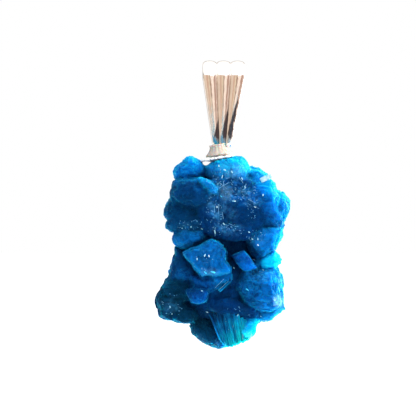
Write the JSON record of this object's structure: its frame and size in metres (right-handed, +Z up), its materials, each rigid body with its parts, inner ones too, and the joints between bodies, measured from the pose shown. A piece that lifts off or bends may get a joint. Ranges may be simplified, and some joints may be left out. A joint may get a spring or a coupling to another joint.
{
  "type": "cavansite pendant",
  "caption": "Rough cluster of deep blue cavansite crystal rosettes, glued under a ribbed silver bail that hangs from a chain.",
  "frame": {"origin": "middle of the bail's loop, where a chain passes through", "axes": "+Z up along the pendant's length, from the stone to the bail; -Y out of the front; +X to the right as seen from the front"},
  "size_m": [0.0174, 0.0125, 0.036],
  "materials": {
    "cavansite": "vitreous crystal faces, darker in the hollows",
    "bail_silver": "polished silver with darker creases",
    "cap_silver": "polished silver",
    "glue": "dried, uneven and slightly cloudy"
  },
  "bodies": {
    "root": {"cavansite_cluster": "cavansite", "bail": "bail_silver", "bell_cap": "cap_silver", "glue_bead": "glue"}
  },
  "joints": []
}
